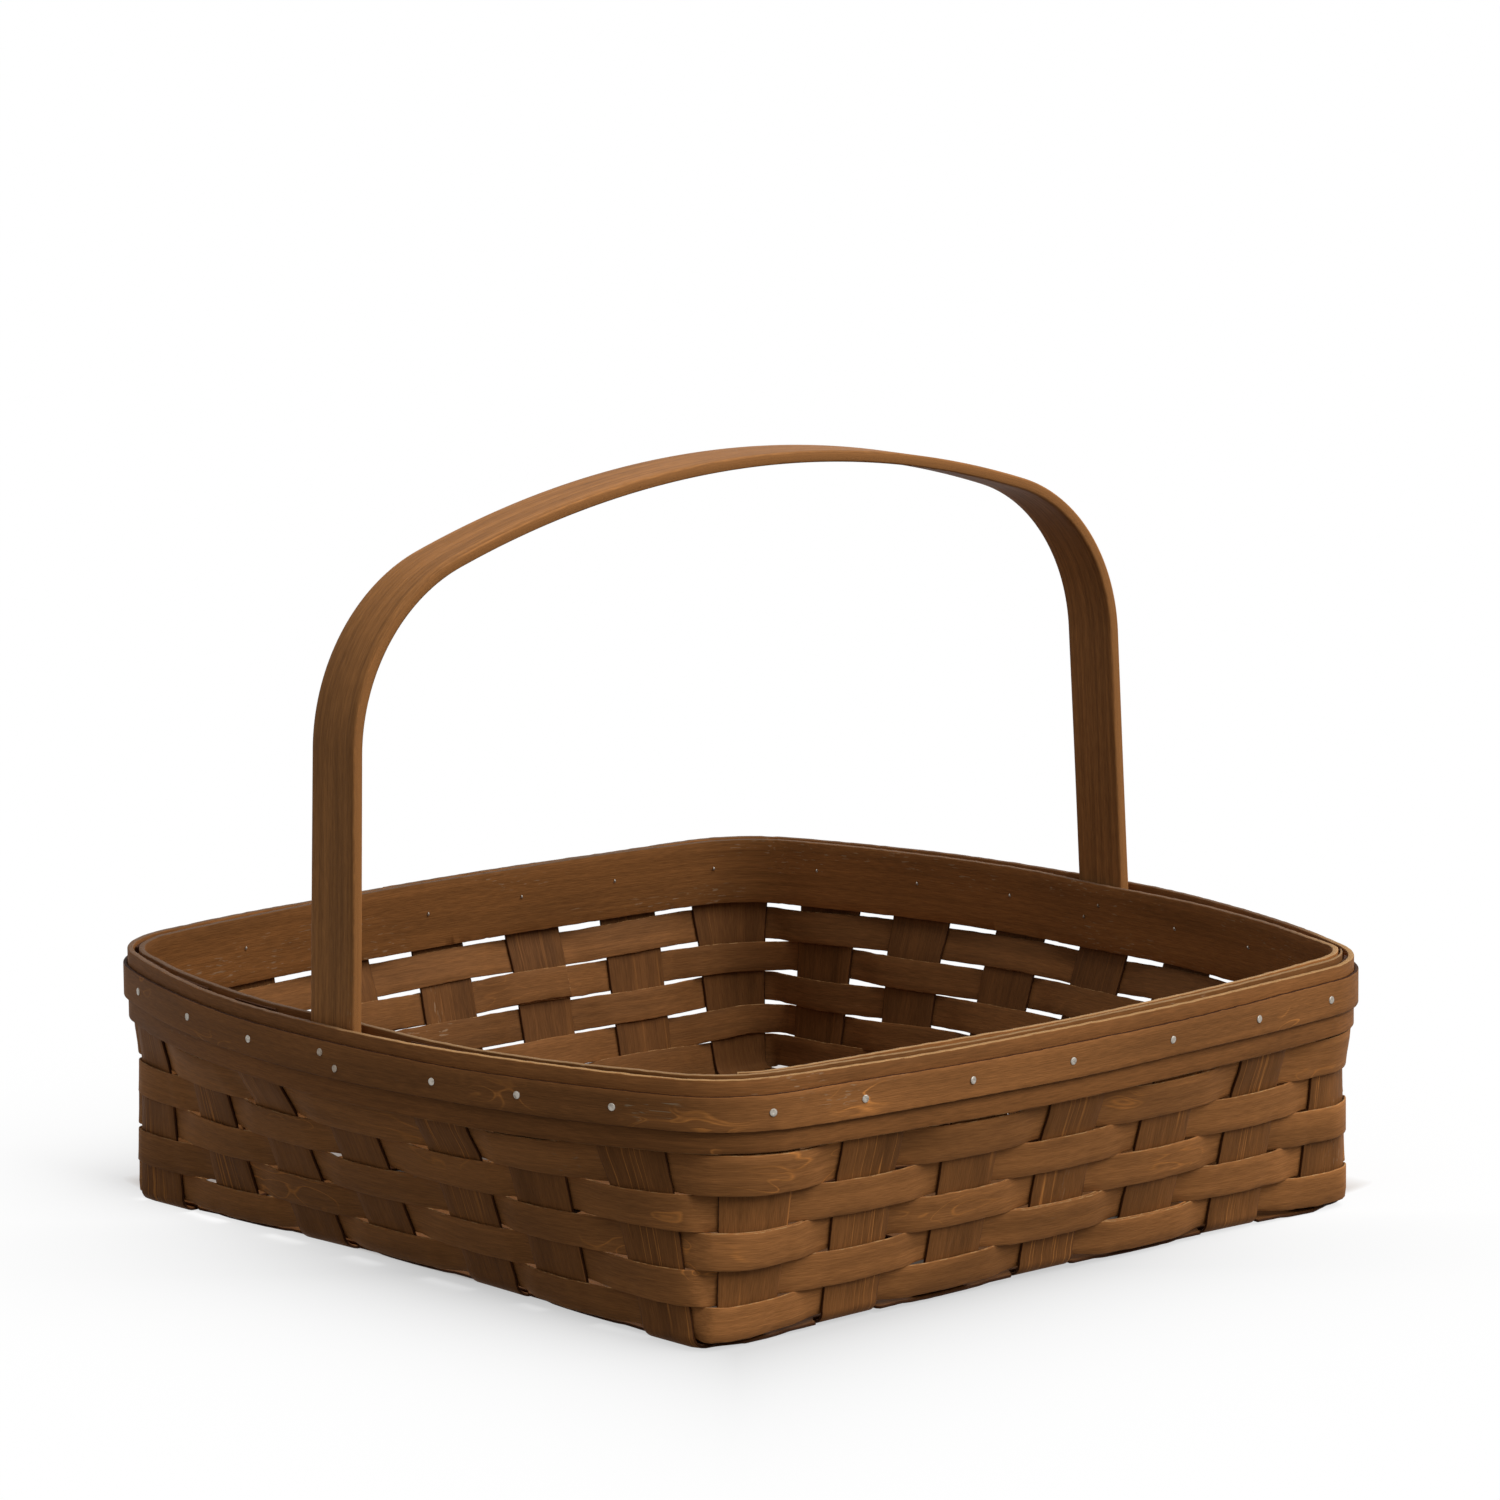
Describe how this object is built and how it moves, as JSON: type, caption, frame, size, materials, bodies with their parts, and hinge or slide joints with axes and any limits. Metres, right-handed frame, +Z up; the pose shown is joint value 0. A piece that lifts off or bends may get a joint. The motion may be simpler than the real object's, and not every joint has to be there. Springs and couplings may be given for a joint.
{
  "type": "pie basket",
  "caption": "Square wood-splint pie basket with a woven floor, low woven walls, a tacked double rim and a fixed bentwood carrying handle.",
  "frame": {"origin": "on the ground under the middle of the basket", "axes": "+X along the handle's span, -Y the front side without a handle, +Z up"},
  "size_m": [0.3353, 0.3203, 0.237],
  "materials": {
    "stake": "walnut-stained splint, satin, vertical grain",
    "weaver": "walnut-stained splint, satin, grain along the strip",
    "rim_band": "walnut-stained band with raw tan edges",
    "rim_trim": "walnut-stained splint, satin",
    "handle": "stained bentwood, lighter where it is gripped",
    "tack": "dull zinc"
  },
  "bodies": {
    "root": {"handle": "handle", "inner_rim_band": "rim_band", "outer_rim_band": "rim_band", "rim_trim_strip": "rim_trim", "weaver_row_1": "weaver", "weaver_row_2": "weaver", "weaver_row_3": "weaver", "weaver_row_4": "weaver", "weaver_row_5": "weaver", "stake_along_x_1": "stake", "stake_along_x_2": "stake", "stake_along_x_3": "stake", "stake_along_x_4": "stake", "stake_along_x_5": "stake", "stake_along_x_6": "stake", "stake_along_x_7": "stake", "stake_along_y_1": "stake", "stake_along_y_2": "stake", "stake_along_y_3": "stake", "stake_along_y_4": "stake", "stake_along_y_5": "stake", "stake_along_y_6": "stake", "stake_along_y_7": "stake", "tack_front_1": "tack", "tack_front_2": "tack", "tack_front_3": "tack", "tack_front_4": "tack", "tack_front_5": "tack", "tack_front_6": "tack", "tack_front_7": "tack", "tack_right_1": "tack", "tack_right_2": "tack", "tack_right_3": "tack", "tack_right_4": "tack", "tack_right_5": "tack", "tack_right_6": "tack", "tack_right_7": "tack", "tack_right_8": "tack", "tack_back_1": "tack", "tack_back_2": "tack", "tack_back_3": "tack", "tack_back_4": "tack", "tack_back_5": "tack", "tack_back_6": "tack", "tack_back_7": "tack", "tack_left_1": "tack", "tack_left_2": "tack", "tack_left_3": "tack", "tack_left_4": "tack", "tack_left_5": "tack", "tack_left_6": "tack", "tack_left_7": "tack", "tack_left_8": "tack"}
  },
  "joints": []
}
